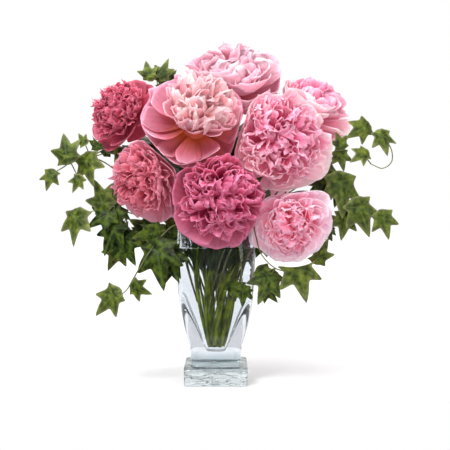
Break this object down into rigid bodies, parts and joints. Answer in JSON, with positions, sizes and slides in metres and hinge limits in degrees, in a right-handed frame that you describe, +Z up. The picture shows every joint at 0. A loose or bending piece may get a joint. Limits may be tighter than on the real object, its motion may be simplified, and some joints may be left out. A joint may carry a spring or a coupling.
{
  "type": "peonies in a vase",
  "caption": "Pink double peonies with trailing ivy, standing in water in a flared clear glass vase on a thick square foot.",
  "frame": {"origin": "middle of the square foot's underside", "axes": "+Z up; the bouquet's front faces -Y, and +X is to the right as one looks at its front"},
  "size_m": [0.4306, 0.2522, 0.4157],
  "materials": {
    "vase_glass": "clear, polished",
    "water": "clear, still water",
    "petals": "soft, matt petals in pinks from blush to magenta",
    "peony_stems": "smooth, slightly waxy green",
    "ivy": "leathery leaves with a satin upper face"
  },
  "bodies": {
    "root": {"vase_glass": "vase_glass", "water": "water", "bloom_left_high": "petals", "bloom_left_low": "petals", "bloom_front_high": "petals", "bloom_top": "petals", "bloom_right_high": "petals", "bloom_right_front": "petals", "bloom_front_low": "petals", "bloom_right_low": "petals", "bloom_back_left": "petals", "bloom_back_right": "petals", "stem_left_high": "peony_stems", "stem_left_low": "peony_stems", "stem_front_high": "peony_stems", "stem_top": "peony_stems", "stem_right_high": "peony_stems", "stem_right_front": "peony_stems", "stem_front_low": "peony_stems", "stem_right_low": "peony_stems", "stem_back_left": "peony_stems", "stem_back_right": "peony_stems", "ivy_left_top": "ivy", "ivy_left_high": "ivy", "ivy_left_low": "ivy", "ivy_left_trail": "ivy", "ivy_right_high": "ivy", "ivy_right_low": "ivy", "ivy_right_trail": "ivy", "ivy_front_trail": "ivy", "ivy_back_left": "ivy", "ivy_back_middle": "ivy", "ivy_back_right": "ivy", "ivy_back_top": "ivy"}
  },
  "joints": []
}
